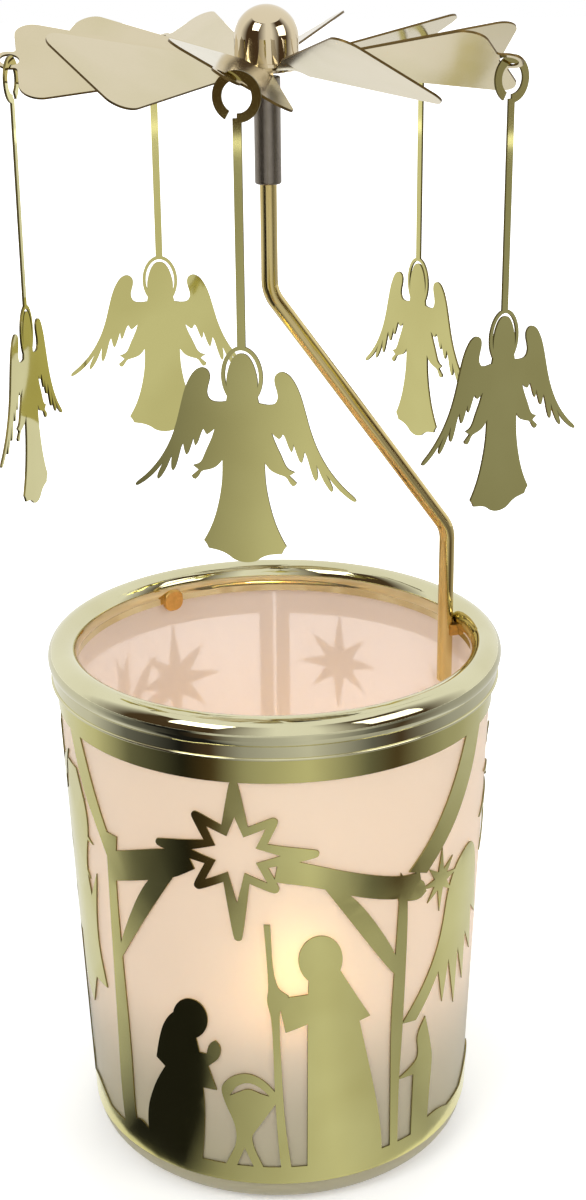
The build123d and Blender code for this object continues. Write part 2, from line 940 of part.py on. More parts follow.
# Spinner cap: dome with a flange on the hub and a neck rolled through it
hub_z = rod_top_z + hub_over_rod
hub_top = hub_z + propeller_sheet / 2
hub_bottom = hub_z - propeller_sheet / 2
dome_base_z = hub_top + dome_sheet
dome_centre_z = dome_base_z + dome_side_height
neck_bottom = hub_bottom - washer_thickness - neck_overhang
with BuildPart() as spinner_cap:
    with BuildSketch(Plane.XZ):
        with BuildLine():
            dome_arc = CenterArc((0, dome_centre_z), dome_radius, 0, 90)
            Polyline(dome_arc @ 0, (dome_radius, hub_top), (0, hub_top), dome_arc @ 1)
        make_face()
        with BuildLine():
            inner_arc = CenterArc((0, dome_centre_z), dome_radius - dome_sheet, 0, 90)
            Polyline(inner_arc @ 0, (dome_radius - dome_sheet, dome_base_z), (0, dome_base_z), inner_arc @ 1)
        make_face(mode=Mode.SUBTRACT)
        with Locations((0, hub_top)):
            Rectangle(flange_radius, dome_sheet, align=(Align.MIN, Align.MIN))
        with Locations((0, dome_base_z)):
            Rectangle(neck_radius, dome_base_z - neck_bottom, align=(Align.MIN, Align.MAX))
        with Locations((0, dome_base_z + dome_sheet)):
            Rectangle(
                neck_radius - neck_wall,
                dome_base_z - neck_bottom + 2 * dome_sheet,
                align=(Align.MIN, Align.MAX),
                mode=Mode.SUBTRACT,
            )
    revolve(axis=Axis.Z)
spinner_cap.part.label = "spinner_cap"
export_step(spinner_cap.part, "parts/spinner_cap.step")


# Bearing cup inside the top of the dome, open downwards on the needle's point
inner_dome_radius = dome_radius - dome_sheet
bearing_top = dome_centre_z + sqrt(inner_dome_radius**2 - bearing_radius**2) - bearing_seat_gap
bearing_bottom = bearing_top - bearing_height
recess_top = bearing_bottom + bearing_recess_depth
with BuildPart() as bearing_cup:
    with BuildSketch(Plane.XZ):
        with BuildLine():
            Polyline(
                (0, recess_top),
                (bearing_recess_radius, bearing_bottom),
                (bearing_radius, bearing_bottom),
                (bearing_radius, bearing_top),
                (0, bearing_top),
                close=True,
            )
        make_face()
    revolve(axis=Axis.Z)
bearing_cup.part.label = "bearing_cup"
export_step(bearing_cup.part, "parts/bearing_cup.step")


# Pivot needle in the rod's top, with its point just under the bearing cup's recess
needle_bottom = rod_top_z - needle_socket_depth + needle_socket_clearance
needle_tip_z = recess_top - pivot_clearance - needle_tip_radius
with BuildPart() as pivot_needle:
    with BuildSketch(Plane.XZ):
        with BuildLine():
            Polyline(
                (0, needle_bottom),
                (needle_radius, needle_bottom),
                (needle_radius, needle_tip_z - needle_taper_length),
                (needle_tip_radius, needle_tip_z),
                (0, needle_tip_z),
                close=True,
            )
        make_face()
    revolve(axis=Axis.Z)
pivot_needle.part.label = "pivot_needle"
export_step(pivot_needle.part, "parts/pivot_needle.step")


# Propeller: one sheet, ten blades turned about their own length, every second with an eyelet
def blade_axes(azimuth):
    """Directions along the blade, across it towards its low edge, and square to it."""
    out = outward(azimuth)
    side = sideways(azimuth)
    up = Vector(0, 0, 1)
    along = out * cos(radians(blade_rise)) + up * sin(radians(blade_rise))
    lift = up * cos(radians(blade_rise)) - out * sin(radians(blade_rise))
    across = side * cos(radians(blade_twist)) - lift * sin(radians(blade_twist))
    square = side * sin(radians(blade_twist)) + lift * cos(radians(blade_twist))
    return along, across, square


def blade_plane(azimuth):
    """The blade's mid-plane, x along the blade and y towards its low edge."""
    along, across, square = blade_axes(azimuth)
    return Plane(origin=(0, 0, hub_z), x_dir=along, z_dir=square)


blade_pitch = 360 / blade_count
eyelet_distance = blade_tip_radius + eyelet_reach


def half_chord(radius):
    """Half the blade's width at this distance from the axis."""
    return radius * tan(radians(blade_half_angle))


def blade_outline(has_eyelet):
    """Sector with rounded outer corners, with or without an eyelet at the tip."""
    with BuildSketch() as outline:
        with BuildLine():
            Polyline(
                (blade_root_radius, -half_chord(blade_root_radius)),
                (blade_tip_radius, -half_chord(blade_tip_radius)),
                (blade_tip_radius, half_chord(blade_tip_radius)),
                (blade_root_radius, half_chord(blade_root_radius)),
                close=True,
            )
        make_face()
        fillet(outline.vertices().group_by(Axis.X)[-1], radius=blade_corner)
        if has_eyelet:
            with Locations((eyelet_distance, 0)):
                Circle(eyelet_radius)
            joint_corners = [
                corner
                for corner in outline.vertices()
                if abs(corner.X - blade_tip_radius) < eyelet_blend and abs(corner.Y) < eyelet_radius
            ]
            fillet(joint_corners, radius=eyelet_blend)
            with Locations((eyelet_distance, 0)):
                Circle(eyelet_hole_radius, mode=Mode.SUBTRACT)
    return outline.sketch


def blade(azimuth, has_eyelet):
    """Flat twisted blade, joined to the hub's flat edge by a short ruled root."""
    along, across, square = blade_axes(azimuth)
    outline = blade_outline(has_eyelet)
    root_plane = Plane(
        origin=Vector(0, 0, hub_z) + along * blade_root_radius, x_dir=across, z_dir=along
    )
    with BuildPart() as one_blade:
        with BuildSketch(blade_plane(azimuth)):
            add(outline)
        extrude(amount=propeller_sheet / 2, both=True)
        with BuildSketch(facing_plane(azimuth, hub_radius, hub_z)):
            Rectangle(2 * half_chord(hub_radius), propeller_sheet)
        with BuildSketch(root_plane):
            Rectangle(2 * half_chord(blade_root_radius), propeller_sheet)
        loft(ruled=True)
    return one_blade.part


blade_azimuths = [blade_phase + blade_pitch * i for i in range(blade_count)]
charm_azimuths = blade_azimuths[::2]
blades = [blade(azimuth, azimuth in charm_azimuths) for azimuth in blade_azimuths]
with BuildPart() as propeller:
    with BuildSketch(Plane(origin=(0, 0, hub_z), x_dir=outward(blade_phase), z_dir=(0, 0, 1))):
        RegularPolygon(hub_radius, blade_count, major_radius=False, rotation=blade_pitch / 2)
    extrude(amount=propeller_sheet / 2, both=True)
    add(blades)
    with Locations((0, 0, hub_z)):
        Cylinder(neck_radius + neck_fit, propeller_sheet + overrun, mode=Mode.SUBTRACT)
propeller.part.label = "propeller"
export_step(propeller.part, "parts/propeller.step")


# Hub washer under the propeller, held by the neck's rolled end
with BuildPart() as hub_washer:
    with BuildSketch(Plane.XY.offset(hub_bottom - washer_thickness)):
        Circle(washer_radius)
        Circle(neck_radius + neck_fit, mode=Mode.SUBTRACT)
    extrude(amount=washer_thickness)
hub_washer.part.label = "hub_washer"
export_step(hub_washer.part, "parts/hub_washer.step")


# Angel charms: ring hook, stem, halo and winged angel etched from one sheet.
# Shares of half the wing span and of the angel's height, down from the halo's top.
angel_half_share = [
    (0.0, -0.03),
    (0.05, -0.036),
    (0.10, -0.07),
    (0.135, -0.13),
    (0.14, -0.17),
    (0.13, -0.21),
    (0.146, -0.25),
    (0.225, -0.256),
    (0.29, -0.25),
    (0.317, -0.222),
    (0.308, -0.19),
    (0.285, -0.155),
    (0.287, -0.125),
    (0.32, -0.106),
    (0.372, -0.102),
    (0.438, -0.124),
    (0.505, -0.186),
    (0.551, -0.267),
    (0.60, -0.366),
    (0.67, -0.458),
    (0.77, -0.543),
    (0.89, -0.612),
    (0.992, -0.654),
    (1.0, -0.668),
    (0.975, -0.672),
    (0.88, -0.638),
    (0.80, -0.597),
    (0.735, -0.553),
    (0.775, -0.59),
    (0.798, -0.622),
    (0.785, -0.634),
    (0.757, -0.622),
    (0.703, -0.578),
    (0.65, -0.512),
    (0.662, -0.553),
    (0.66, -0.58),
    (0.643, -0.588),
    (0.622, -0.574),
    (0.596, -0.534),
    (0.565, -0.475),
    (0.545, -0.457),
    (0.535, -0.488),
    (0.522, -0.508),
    (0.503, -0.506),
    (0.478, -0.474),
    (0.447, -0.425),
    (0.446, -0.448),
    (0.432, -0.464),
    (0.412, -0.452),
    (0.37, -0.39),
    (0.352, -0.385),
    (0.335, -0.405),
    (0.314, -0.408),
    (0.256, -0.381),
    (0.284, -0.425),
    (0.34, -0.483),
    (0.385, -0.541),
    (0.461, -0.555),
    (0.41, -0.574),
    (0.474, -0.603),
    (0.466, -0.616),
    (0.438, -0.62),
    (0.412, -0.607),
    (0.382, -0.578),
    (0.315, -0.571),
    (0.24, -0.555),
    (0.19, -0.52),
    (0.194, -0.61),
    (0.222, -0.70),
    (0.268, -0.79),
    (0.325, -0.86),
    (0.378, -0.907),
    (0.35, -0.925),
    (0.335, -0.943),
    (0.28, -0.947),
    (0.215, -0.953),
    (0.15, -0.968),
    (0.10, -0.99),
    (0.0, -1.0),
]

ring_mid_radius = ring_radius - ring_width / 2
ring_inner_radius = ring_radius - ring_width
halo_top = -(ring_mid_radius + stem_length)


def charm_outline():
    """The flat charm, with the ring's centre as its origin."""
    with BuildSketch(mode=Mode.PRIVATE) as outline:
        with BuildLine() as ring_line:
            CenterArc((0, 0), ring_mid_radius, -90, ring_gap_start + 90)
        trace(ring_line.line, ring_width)
        with Locations((0, -ring_mid_radius)):
            Rectangle(stem_width, stem_length + halo_width, align=(Align.CENTER, Align.MAX))
        with Locations((0, halo_top - halo_radius_z)):
            Ellipse(halo_radius_x, halo_radius_z)
            Ellipse(halo_radius_x - halo_width, halo_radius_z - halo_width, mode=Mode.SUBTRACT)
        body = scaled(angel_half_share + mirrored(angel_half_share)[1:-1], angel_half_span, angel_height)
        with BuildLine():
            draw_outline([(x, y + halo_top) for x, y in body])
        make_face()
    return outline.sketch


charm_profile = charm_outline()
for index, (azimuth, turn) in enumerate(zip(charm_azimuths, charm_turns)):
    along, across, square = blade_axes(azimuth)
    hook_point = (
        Vector(0, 0, hub_z)
        + along * eyelet_distance
        + across * eyelet_hole_radius
        + square * (propeller_sheet / 2)
    )
    ring_centre = hook_point - Vector(0, 0, ring_inner_radius - ring_rest_gap)
    charm_azimuth = azimuth + turn
    charm_plane = Plane(origin=ring_centre, x_dir=sideways(charm_azimuth), z_dir=outward(charm_azimuth))
    with BuildPart() as angel_charm:
        with BuildSketch(charm_plane):
            add(charm_profile)
        extrude(amount=charm_sheet / 2, both=True)
    angel_charm.part.label = f"angel_charm_{index + 1}"
    export_step(angel_charm.part, f"parts/angel_charm_{index + 1}.step")


# Tealight cup: thin aluminium shell standing on the glass's floor
tealight_z = glass_floor + tealight_rest_gap
with BuildPart() as tealight_cup:
    with Locations((0, 0, tealight_z)):
        Cylinder(tealight_radius, tealight_height, align=(Align.CENTER, Align.CENTER, Align.MIN))
    fillet(tealight_cup.edges().group_by(Axis.Z)[0], radius=tealight_corner)
    cup_mouth = tealight_cup.faces().sort_by(Axis.Z)[-1]
    offset(amount=-tealight_wall, openings=cup_mouth)
tealight_cup.part.label = "tealight_cup"
export_step(tealight_cup.part, "parts/tealight_cup.step")


# Wick sustainer: disc with a short neck, on the cup's bottom
cup_floor_z = tealight_z + tealight_wall
sustainer_z = cup_floor_z + wax_clearance
with BuildPart() as wick_sustainer:
    with BuildSketch(Plane.XY.offset(sustainer_z)):
        Circle(sustainer_radius)
        Circle(wick_radius + wick_clearance, mode=Mode.SUBTRACT)
    extrude(amount=sustainer_sheet)
    with BuildSketch(Plane.XY.offset(sustainer_z)):
        Circle(sustainer_neck_radius)
        Circle(wick_radius + wick_clearance, mode=Mode.SUBTRACT)
    extrude(amount=sustainer_neck_height)
wick_sustainer.part.label = "wick_sustainer"
export_step(wick_sustainer.part, "parts/wick_sustainer.step")


# Wax cake with a shallow melt pool, moulded round the sustainer and the wick
wax_radius = tealight_radius - tealight_wall - wax_clearance
wax_top = sustainer_z + wax_height
pool_sphere_radius = (wax_pool_radius**2 + wax_pool_depth**2) / (2 * wax_pool_depth)
with BuildPart() as tealight_wax:
    with Locations((0, 0, sustainer_z)):
        Cylinder(wax_radius, wax_height, align=(Align.CENTER, Align.CENTER, Align.MIN))
    fillet(tealight_wax.edges().group_by(Axis.Z)[0], radius=tealight_corner)
    with Locations((0, 0, wax_top - wax_pool_depth + pool_sphere_radius)):
        Sphere(pool_sphere_radius, mode=Mode.SUBTRACT)
    with Locations((0, 0, sustainer_z)):
        Cylinder(
            sustainer_radius + wax_clearance,
            sustainer_sheet + wax_clearance,
            align=(Align.CENTER, Align.CENTER, Align.MIN),
            mode=Mode.SUBTRACT,
        )
        Cylinder(
            sustainer_neck_radius + wax_clearance,
            sustainer_neck_height + wax_clearance,
            align=(Align.CENTER, Align.CENTER, Align.MIN),
            mode=Mode.SUBTRACT,
        )
        Cylinder(
            wick_radius + wick_clearance,
            wax_height,
            align=(Align.CENTER, Align.CENTER, Align.MIN),
            mode=Mode.SUBTRACT,
        )
tealight_wax.part.label = "tealight_wax"
export_step(tealight_wax.part, "parts/tealight_wax.step")


# Wick: cotton cord through the sustainer and the wax
wick_top = wax_top - wax_pool_depth + wick_above_wax
with BuildPart() as tealight_wick:
    with Locations((0, 0, sustainer_z)):
        Cylinder(wick_radius, wick_top - sustainer_z, align=(Align.CENTER, Align.CENTER, Align.MIN))
    chamfer(tealight_wick.edges().group_by(Axis.Z)[-1], length=wick_radius / 2)
tealight_wick.part.label = "tealight_wick"
export_step(tealight_wick.part, "parts/tealight_wick.step")
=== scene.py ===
import math

import bmesh
import bpy
from mathutils import Matrix, Vector


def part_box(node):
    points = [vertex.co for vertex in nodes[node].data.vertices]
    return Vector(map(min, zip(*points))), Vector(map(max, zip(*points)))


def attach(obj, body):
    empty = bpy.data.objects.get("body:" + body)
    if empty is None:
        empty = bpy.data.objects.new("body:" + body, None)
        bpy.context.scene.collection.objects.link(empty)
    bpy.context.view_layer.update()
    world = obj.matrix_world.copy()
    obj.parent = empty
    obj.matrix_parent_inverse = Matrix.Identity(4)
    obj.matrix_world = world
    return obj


bl_info = {
    "name": "Angel chime carousel",
    "version": (1, 0, 0),
    "blender": (4, 5, 0),
    "location": "View3D > Sidebar > Chime",
    "description": "Dresses the candle glass, its etched wrap, the propeller and the angels, and lights them",
    "category": "Object",
}

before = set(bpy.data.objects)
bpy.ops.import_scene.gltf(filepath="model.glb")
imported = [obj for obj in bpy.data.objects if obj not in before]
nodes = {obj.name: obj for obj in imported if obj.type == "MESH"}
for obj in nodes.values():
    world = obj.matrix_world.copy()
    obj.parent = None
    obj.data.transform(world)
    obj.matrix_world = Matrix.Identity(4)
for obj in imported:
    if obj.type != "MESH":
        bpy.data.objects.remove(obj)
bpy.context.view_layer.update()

MM = 0.001
WAX_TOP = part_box("tealight_wax")[1].z
WICK_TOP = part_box("tealight_wick")[1].z
CHARMS = [name for name in nodes if name.startswith("angel_charm_")]

HEM_RADIUS = 0.22 * MM
HEM_SIDES = 12
HEM_STEPS = 144
CARD_STEPS = 96

# The flame's outline: how much of its width the belly fills, how blunt it is below and
# above, how soon each ring of the ball opens out, and how the draught's bend grows upwards
FLAME_FULLNESS = 0.72
FLAME_LOW_POWER = 0.5
FLAME_TIP_POWER = 0.35
FLAME_OPENING = 4
FLAME_BEND_POWER = 1.2
FLAME_FOOT = WICK_TOP - 5 * MM

# Grain of the finishes
PLATING_CLOUD_MM = 14
HANDLING_HAZE_MM = 5
GLASS_GRAIN_MM = 0.6
PAPER_FIBRE_MM = 2

# Camera fitted to the photograph: its place in metres and its turns in radians
CAMERA_PLACE = (0, -0.25032, 0.178131)
CAMERA_YAW = 0.011
CAMERA_PITCH = 0.36
CAMERA_ROLL = -0.010
CAMERA_LENS = 55.12
CAMERA_SENSOR = 36.0


def linear(hex_colour):
    """An sRGB hex colour as linear red, green, blue and a full alpha."""
    channels = [int(hex_colour[i : i + 2], 16) / 255 for i in (1, 3, 5)]
    return (*[c / 12.92 if c <= 0.04045 else ((c + 0.055) / 1.055) ** 2.4 for c in channels], 1.0)


def per_mm(size_mm):
    """Texture scale for a pattern that repeats every so many millimetres."""
    return 1 / (size_mm * MM)


def add_node(tree, kind, links=None, values=None, **settings):
    """Adds a node: settings are its properties or named sockets, values its numbered sockets."""
    made = tree.nodes.new(kind)
    for name, value in settings.items():
        if hasattr(made, name):
            setattr(made, name, value)
        else:
            made.inputs[name.replace("_", " ")].default_value = value
    for number, value in (values or {}).items():
        made.inputs[number].default_value = value
    for name, source in (links or {}).items():
        tree.links.new(source, made.inputs[name])
    return made


def new_material(name):
    """An empty node material with its Principled shader linked to the output."""
    material = bpy.data.materials.new(name)
    material.use_nodes = True
    tree = material.node_tree
    tree.nodes.clear()
    shader = tree.nodes.new("ShaderNodeBsdfPrincipled")
    output = tree.nodes.new("ShaderNodeOutputMaterial")
    tree.links.new(shader.outputs["BSDF"], output.inputs["Surface"])
    return material, tree, shader


def give(material, *names):
    """Puts the material in the slots of these CAD nodes."""
    for name in names:
        node = nodes[name]
        if not node.material_slots:
            node.data.materials.append(material)
        for slot in node.material_slots:
            slot.material = material


def radial_facing(tree, place):
    """The direction a rolled sheet faces at each point: straight out from the upright axis."""
    flat = add_node(
        tree, "ShaderNodeVectorMath", {0: place.outputs["Object"]}, {1: (1, 1, 0)}, operation="MULTIPLY"
    )
    outward = add_node(tree, "ShaderNodeVectorMath", {0: flat.outputs["Vector"]}, operation="NORMALIZE")
    return outward.outputs["Vector"]


def plated_sheet(name, tone, shade, painted_dark_edge, roughness, ripple_mm, ripple_height_mm, facing=None):
    """Gold-plated steel: a bright thin plating over rolled, pressed or drawn steel.

    The plating is even but never dead flat: it shows faint clouds of tone between its tone
    and its shade, a soft haze from handling, and long shallow ripples left by rolling. Where
    the piece is an etched sheet, facing says which way its faces look: "radial" for a rolled
    one, or a direction. Its cut edges then get a dark colour, a painted reflection of the dark
    room, and are rougher than its faces, which draws a fine line round each shape.
    """
    material, tree, shader = new_material(name)
    place = add_node(tree, "ShaderNodeTexCoord")
    clouds = add_node(
        tree,
        "ShaderNodeTexNoise",
        {"Vector": place.outputs["Object"]},
        Scale=per_mm(PLATING_CLOUD_MM),
        Detail=2.0,
    )
    tones = add_node(tree, "ShaderNodeValToRGB", {"Fac": clouds.outputs["Fac"]})
    tones.color_ramp.elements[0].position = 0.35
    tones.color_ramp.elements[0].color = linear(shade)
    tones.color_ramp.elements[1].position = 0.65
    tones.color_ramp.elements[1].color = (*tone, 1)
    haze = add_node(
        tree,
        "ShaderNodeTexNoise",
        {"Vector": place.outputs["Object"]},
        Scale=per_mm(HANDLING_HAZE_MM),
        Detail=4.0,
    )
    rough = add_node(
        tree,
        "ShaderNodeMapRange",
        {"Value": haze.outputs["Fac"]},
        To_Min=roughness * 0.7,
        To_Max=roughness * 1.3,
    )
    if facing:
        along = add_node(
            tree, "ShaderNodeVectorMath", {0: place.outputs["Normal"]}, operation="DOT_PRODUCT"
        )
        if facing == "radial":
            tree.links.new(radial_facing(tree, place), along.inputs[1])
        else:
            along.inputs[1].default_value = facing
        share = add_node(tree, "ShaderNodeMath", {0: along.outputs["Value"]}, operation="ABSOLUTE")
        face = add_node(
            tree, "ShaderNodeMapRange", {"Value": share.outputs["Value"]}, From_Min=0.55, From_Max=0.75
        )
        # Painted reflection: the etched edges take a dark colour standing for the dark room they mirror
        colour = add_node(
            tree,
            "ShaderNodeMix",
            {"Factor": face.outputs["Result"], 7: tones.outputs["Color"]},
            {6: linear(painted_dark_edge)},
            data_type="RGBA",
        )
        tree.links.new(colour.outputs[2], shader.inputs["Base Color"])
        gloss = add_node(
            tree,
            "ShaderNodeMapRange",
            {"Value": face.outputs["Result"], "To Max": rough.outputs["Result"]},
            To_Min=0.45,
        )
        tree.links.new(gloss.outputs["Result"], shader.inputs["Roughness"])
    else:
        tree.links.new(tones.outputs["Color"], shader.inputs["Base Color"])
        tree.links.new(rough.outputs["Result"], shader.inputs["Roughness"])
    ripples = add_node(
        tree,
        "ShaderNodeTexNoise",
        {"Vector": place.outputs["Object"]},
        Scale=per_mm(ripple_mm),
        Detail=1.0,
    )
    bump = add_node(
        tree,
        "ShaderNodeBump",
        {"Height": ripples.outputs["Fac"]},
        Strength=1.0,
        Distance=ripple_height_mm * MM,
    )
    tree.links.new(bump.outputs["Normal"], shader.inputs["Normal"])
    shader.inputs["Metallic"].default_value = 1.0
    return material


def sheet_facing(node):
    """The level direction in which a flat hanging sheet is thinnest."""
    points = [vertex.co for vertex in node.data.vertices]
    widest = max(((a - points[0]).xy.length, a) for a in points)[1]
    other = max(((a - widest).xy.length, a) for a in points)[1]
    across = (widest - other).xy.normalized()
    return (-across.y, across.x, 0)


def frosted_glass(name, look):
    """Acid-etched glass, sprayed with a warm translucent lacquer on its outer side.

    Both sides have a fine matt skin that scatters light, so it reads as milky. The lacquer
    makes the outside peach, while the bare inside stays nearly neutral. Towards the foot the
    outside is darker and greener, a painted shade of the tealight's cup. A painted glow lights
    it softly from within round the flame, above the rim of the tealight, whose cup shades the
    foot; the painted glow is stronger on the inside.
    """
    # Painted shade of the tealight's cup: the outside has the full foot colour up to the first height and the
    # lacquer colour from the third; the painted glow rises from nothing at the second
    foot_shade_full_height = 2 * MM
    painted_shade_bottom = WAX_TOP - 4 * MM
    painted_shade_top = WAX_TOP + 16 * MM
    painted_glow_middle = (6 * MM, 0.0, WICK_TOP + 6 * MM)
    # The painted glow reaches this much further up and down than sideways
    painted_glow_stretch = 1.15
    # The painted glow is stronger on the bare inside than on the lacquered outside
    inside_painted_glow_share = 1.2

    material, tree, shader = new_material(name)
    place = add_node(tree, "ShaderNodeTexCoord")
    grain = add_node(
        tree,
        "ShaderNodeTexNoise",
        {"Vector": place.outputs["Object"]},
        Scale=per_mm(GLASS_GRAIN_MM),
        Detail=3.0,
    )
    bump = add_node(
        tree, "ShaderNodeBump", {"Height": grain.outputs["Fac"]}, Strength=0.25, Distance=0.05 * MM
    )
    tree.links.new(bump.outputs["Normal"], shader.inputs["Normal"])

    # 1 on the outer side and 0 on the inner one
    turned_out = add_node(
        tree,
        "ShaderNodeVectorMath",
        {0: place.outputs["Normal"], 1: radial_facing(tree, place)},
        operation="DOT_PRODUCT",
    )
    side = add_node(
        tree, "ShaderNodeMapRange", {"Value": turned_out.outputs["Value"]}, From_Min=-0.2, From_Max=0.2
    )
    split = add_node(tree, "ShaderNodeSeparateXYZ", {"Vector": place.outputs["Object"]})
    # Painted shade: the outside goes from the darker, greener foot colour to the lacquer colour as it rises
    height = add_node(
        tree,
        "ShaderNodeMapRange",
        {"Value": split.outputs["Z"]},
        From_Min=foot_shade_full_height,
        From_Max=painted_shade_top,
    )
    lacquer = add_node(
        tree,
        "ShaderNodeMix",
        {"Factor": height.outputs["Result"]},
        {6: (*look.foot, 1), 7: (*look.outer, 1)},
        data_type="RGBA",
    )
    body = add_node(
        tree,
        "ShaderNodeMix",
        {"Factor": side.outputs["Result"], 7: lacquer.outputs[2]},
        {6: (*look.inner, 1)},
        data_type="RGBA",
    )
    tree.links.new(body.outputs[2], shader.inputs["Base Color"])

    # Painted glow: an emission that fades with distance from the flame and is off below the tealight's rim,
    # in the cup's shade
    centred = add_node(
        tree,
        "ShaderNodeMapping",
        {"Vector": place.outputs["Object"]},
        vector_type="TEXTURE",
        Location=painted_glow_middle,
        Scale=(look.reach, look.reach, look.reach * painted_glow_stretch),
    )
    painted_glow_falloff = add_node(
        tree, "ShaderNodeTexGradient", {"Vector": centred.outputs["Vector"]}, gradient_type="SPHERICAL"
    )
    painted_glow_above_cup = add_node(
        tree,
        "ShaderNodeMapRange",
        {"Value": split.outputs["Z"]},
        interpolation_type="SMOOTHSTEP",
        From_Min=painted_shade_bottom,
        From_Max=painted_shade_top,
        To_Max=look.glow,
    )
    painted_glow = add_node(
        tree,
        "ShaderNodeMath",
        {0: painted_glow_falloff.outputs["Fac"], 1: painted_glow_above_cup.outputs["Result"]},
        operation="MULTIPLY",
    )
    side_painted_glow_share = add_node(
        tree, "ShaderNodeMapRange", {"Value": side.outputs["Result"]}, To_Min=inside_painted_glow_share
    )
    side_painted_glow = add_node(
        tree,
        "ShaderNodeMath",
        {0: painted_glow.outputs["Value"], 1: side_painted_glow_share.outputs["Result"]},
        operation="MULTIPLY",
    )
    tree.links.new(side_painted_glow.outputs["Value"], shader.inputs["Emission Strength"])
    # Colour of the painted glow
    shader.inputs["Emission Color"].default_value = linear("#FFDDC4")
    shader.inputs["Roughness"].default_value = 0.4
    shader.inputs["IOR"].default_value = 1.5
    shader.inputs["Transmission Weight"].default_value = 0.4
    return material


def plain_finish(name, colour, metallic, roughness, grain_mm, grain_height_mm, **extra):
    """A finish of one colour, a little darker in the hollows of its own fine grain."""
    hollow_share = 0.86
    material, tree, shader = new_material(name)
    place = add_node(tree, "ShaderNodeTexCoord")
    grain = add_node(
        tree,
        "ShaderNodeTexNoise",
        {"Vector": place.outputs["Object"]},
        Scale=per_mm(grain_mm),
        Detail=3.0,
    )
    tones = add_node(tree, "ShaderNodeValToRGB", {"Fac": grain.outputs["Fac"]})
    tones.color_ramp.elements[0].position = 0.3
    tones.color_ramp.elements[0].color = (*[c * hollow_share for c in linear(colour)[:3]], 1)
    tones.color_ramp.elements[1].position = 0.7
    tones.color_ramp.elements[1].color = linear(colour)
    tree.links.new(tones.outputs["Color"], shader.inputs["Base Color"])
    bump = add_node(
        tree,
        "ShaderNodeBump",
        {"Height": grain.outputs["Fac"]},
        Strength=0.6,
        Distance=grain_height_mm * MM,
    )
    tree.links.new(bump.outputs["Normal"], shader.inputs["Normal"])
    shader.inputs["Metallic"].default_value = metallic
    shader.inputs["Roughness"].default_value = roughness
    for socket, value in extra.items():
        shader.inputs[socket.replace("_", " ")].default_value = value
    return material


def add_piece(name, mesh, material):
    """Makes a finished bmesh a smooth object that wears the material."""
    bmesh.ops.recalc_face_normals(mesh, faces=mesh.faces)
    data = bpy.data.meshes.new(name)
    mesh.to_mesh(data)
    mesh.free()
    data.shade_smooth()
    data.materials.append(material)
    piece = bpy.data.objects.new(name, data)
    bpy.context.scene.collection.objects.link(piece)
    return piece


class FlameSizes(bpy.types.PropertyGroup):
    """Size and colour of the tealight's flame."""

    height: bpy.props.FloatProperty(
        name="Height", description="Height of the flame from its foot", default=0.0108, unit="LENGTH"
    )
    width: bpy.props.FloatProperty(
        name="Width", description="Widest part of the flame", default=0.0068, unit="LENGTH"
    )
    lean: bpy.props.FloatProperty(
        name="Lean",
        description="How far the draught bends the flame's tip to the right",
        default=0.006,
        unit="LENGTH",
    )
    colour: bpy.props.FloatVectorProperty(
        name="Colour",
        description="Colour of the flame's body",
        subtype="COLOR",
        size=3,
        default=linear("#FFF07A")[:3],
    )
    strength: bpy.props.FloatProperty(
        name="Strength", description="Brightness of the flame", default=10.0
    )


class GlassLook(bpy.types.PropertyGroup):
    """Look of the frosted glass."""

    outer: bpy.props.FloatVectorProperty(
        name="Lacquer",
        description="Colour of the lacquer on the outside",
        subtype="COLOR",
        size=3,
        default=linear("#F1E2CC")[:3],
    )
    # Painted shade: the foot colour stands for the tealight cup's shade on the lower glass
    foot: bpy.props.FloatVectorProperty(
        name="Foot",
        description="Colour of the lacquer where it pooled towards the foot",
        subtype="COLOR",
        size=3,
        default=linear("#CCC4A0")[:3],
    )
    inner: bpy.props.FloatVectorProperty(
        name="Inside",
        description="Colour of the bare frosted inside",
        subtype="COLOR",
        size=3,
        default=linear("#E8E0DC")[:3],
    )
    # Strength and reach of the glow painted into the glass round the flame
    glow: bpy.props.FloatProperty(
        name="Glow", description="How far the glass lights up round the flame", default=0.17
    )
    reach: bpy.props.FloatProperty(
        name="Reach",
        description="Distance from the flame at which the glow ends",
        default=0.09,
        unit="LENGTH",
    )


class GoldLook(bpy.types.PropertyGroup):
    """Tones of the gold plating on each kind of piece."""

    wrap: bpy.props.FloatVectorProperty(
        name="Wrap",
        description="Gold of the etched wrap",
        subtype="COLOR",
        size=3,
        default=linear("#D9D38E")[:3],
    )
    collar: bpy.props.FloatVectorProperty(
        name="Collar",
        description="Gold of the pressed collar",
        subtype="COLOR",
        size=3,
        default=linear("#DAD6B2")[:3],
    )
    rod: bpy.props.FloatVectorProperty(
        name="Rod",
        description="Gold of the drawn rod",
        subtype="COLOR",
        size=3,
        default=linear("#DDC98C")[:3],
    )
    blades: bpy.props.FloatVectorProperty(
        name="Blades",
        description="Gold of the propeller",
        subtype="COLOR",
        size=3,
        default=linear("#D7CBAC")[:3],
    )
    cap: bpy.props.FloatVectorProperty(
        name="Cap",
        description="Gold of the polished cap",
        subtype="COLOR",
        size=3,
        default=linear("#DACCAE")[:3],
    )
    angels: bpy.props.FloatVectorProperty(
        name="Angels",
        description="Gold of the hanging angels",
        subtype="COLOR",
        size=3,
        default=linear("#D9D28C")[:3],
    )


class StageSizes(bpy.types.PropertyGroup):
    """Sizes and levels of the stage."""

    floor: bpy.props.FloatProperty(
        name="Floor", description="Side of the square floor", default=6.0, unit="LENGTH"
    )
    sky: bpy.props.FloatProperty(
        name="Sky", description="Brightness of the surrounding light", default=0.62
    )


class CHIME_OT_glass(bpy.types.Operator):
    """Finish the frosted glass"""

    bl_idname = "chime.glass"
    bl_label = "Frosted glass"

    def execute(self, context):
        give(
            frosted_glass("Acid-etched soda-lime glass, lacquered", context.scene.chime_glass),
            "glass_tumbler",
        )
        return {"FINISHED"}


